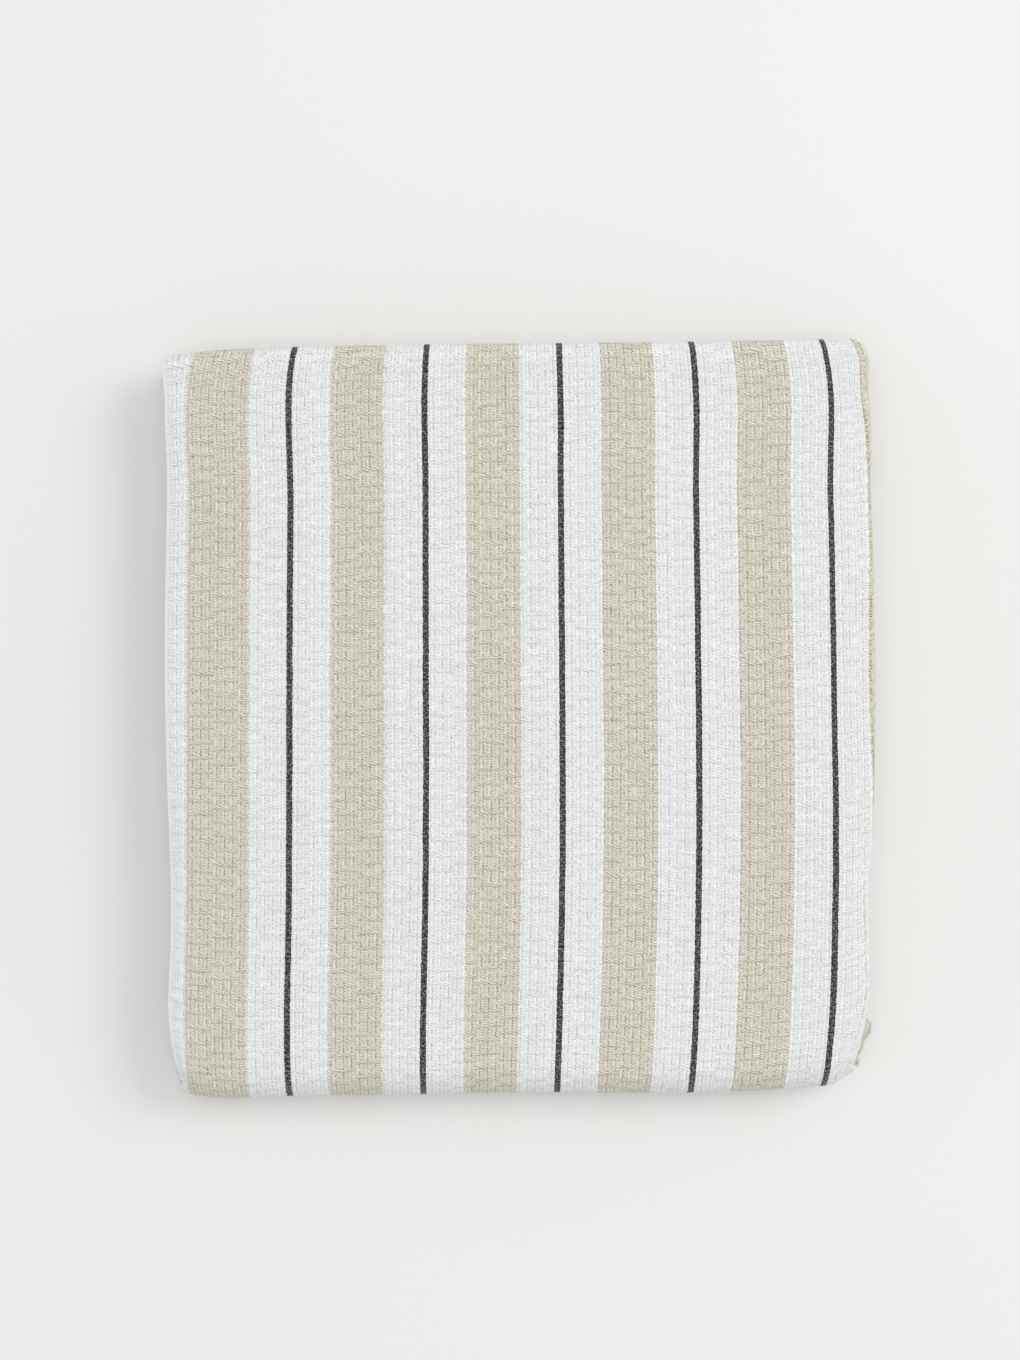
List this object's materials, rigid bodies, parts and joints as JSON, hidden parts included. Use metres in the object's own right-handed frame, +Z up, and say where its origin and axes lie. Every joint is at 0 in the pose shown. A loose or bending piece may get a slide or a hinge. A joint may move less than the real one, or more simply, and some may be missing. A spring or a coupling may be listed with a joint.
{
  "type": "golf towel",
  "caption": "Striped honeycomb-weave cotton golf towel, folded in half lengthwise and then twice across into a flat stored pad, with hemmed ends.",
  "frame": {"origin": "on the resting face, under the middle of the folded towel's box", "axes": "+X across the stripes towards the lengthwise fold, +Y along the stripes towards the rear bend, +Z up through the stack of plies"},
  "size_m": [0.2012, 0.214, 0.0195],
  "materials": {
    "towel_cloth": "cotton honeycomb weave, white with beige bands and thin charcoal lines, matt",
    "sewing_thread": "spun polyester sewing thread, off-white, slight sheen",
    "loop_tape": "woven cotton twill tape, charcoal, matt",
    "label_satin": "blank polyester satin ribbon, white, soft sheen"
  },
  "bodies": {
    "lower_half": {"base_quarter_bottom_hem": "towel_cloth", "base_quarter_bottom_hem_thread": "sewing_thread", "base_quarter_bottom_ply": "towel_cloth", "base_quarter_side_fold": "towel_cloth", "base_quarter_top_hem": "towel_cloth", "base_quarter_top_hem_thread": "sewing_thread", "base_quarter_top_ply": "towel_cloth", "care_label": "label_satin", "care_label_seam": "sewing_thread", "front_inner_bend_inner_ply": "towel_cloth", "front_inner_bend_outer_ply": "towel_cloth", "front_inner_bend_side_fold": "towel_cloth", "front_outer_bend_inner_ply": "towel_cloth", "front_outer_bend_outer_ply": "towel_cloth", "front_outer_bend_side_fold": "towel_cloth", "hanging_loop": "loop_tape", "hanging_loop_bar_tack": "sewing_thread", "lower_inner_quarter_bottom_hem": "towel_cloth", "lower_inner_quarter_bottom_hem_thread": "sewing_thread", "lower_inner_quarter_bottom_ply": "towel_cloth", "lower_inner_quarter_side_fold": "towel_cloth", "lower_inner_quarter_top_hem": "towel_cloth", "lower_inner_quarter_top_hem_thread": "sewing_thread", "lower_inner_quarter_top_ply": "towel_cloth"},
    "upper_half": {"rear_bend_inner_ply": "towel_cloth", "rear_bend_outer_ply": "towel_cloth", "rear_bend_side_fold": "towel_cloth", "top_quarter_bottom_ply": "towel_cloth", "top_quarter_side_fold": "towel_cloth", "top_quarter_top_ply": "towel_cloth", "upper_inner_quarter_bottom_ply": "towel_cloth", "upper_inner_quarter_side_fold": "towel_cloth", "upper_inner_quarter_top_ply": "towel_cloth"}
  },
  "joints": [
    {"name": "front_fold", "type": "hinge", "parent": "lower_half", "child": "upper_half", "pos_m": [0, -0.10245, 0.00975], "axis": [1, 0, 0], "range_deg": [0, 180], "deforming": ["front_inner_bend_inner_ply", "front_inner_bend_outer_ply", "front_inner_bend_side_fold", "front_outer_bend_inner_ply", "front_outer_bend_outer_ply", "front_outer_bend_side_fold"]}
  ]
}
